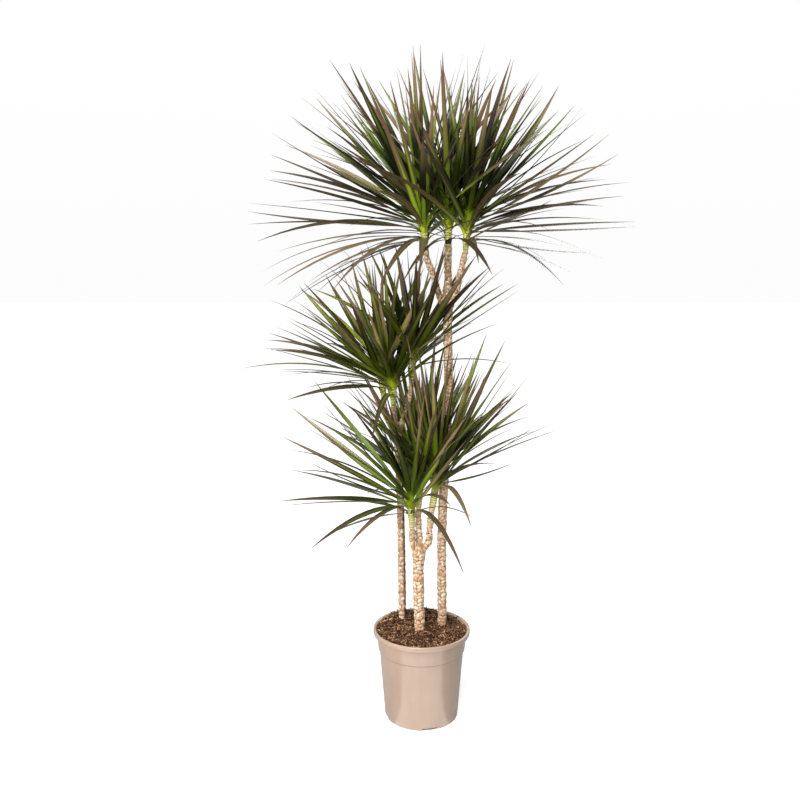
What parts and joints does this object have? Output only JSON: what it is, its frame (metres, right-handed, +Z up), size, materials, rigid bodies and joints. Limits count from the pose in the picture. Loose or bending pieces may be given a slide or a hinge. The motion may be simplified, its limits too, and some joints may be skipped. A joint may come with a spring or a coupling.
{
  "type": "potted dracaena marginata",
  "caption": "Tall potted house plant: woody canes rise from soil in a round plastic nursery pot, fork near their tops and end in spiky heads of long, narrow, arching leaves. Stands on the floor.",
  "frame": {"origin": "middle of the pot's underside, on the flat disc at its centre", "axes": "+Z up along the pot's axis, +X to the right and +Y to the back as the picture shows the plant"},
  "size_m": [0.9145, 0.8548, 1.61],
  "materials": {
    "pot_plastic": "satin beige-pink injection-moulded plastic with fine scuffs",
    "soil": "loose brown bark and peat with paler fibres",
    "bark": "pale tan corky bark with ring-like leaf scars",
    "leaf": "glossy green blades with lime bases, purple-red margins and bronze tips"
  },
  "bodies": {
    "root": {"pot": "pot_plastic", "soil": "soil", "cane_tall": "bark", "cane_left": "bark", "cane_front": "bark", "head_tall_left": "leaf", "head_tall_middle": "leaf", "head_tall_right": "leaf", "head_left_outer": "leaf", "head_left_front": "leaf", "head_left_inner": "leaf", "head_front_left": "leaf", "head_front_back": "leaf", "head_front_right": "leaf"}
  },
  "joints": []
}
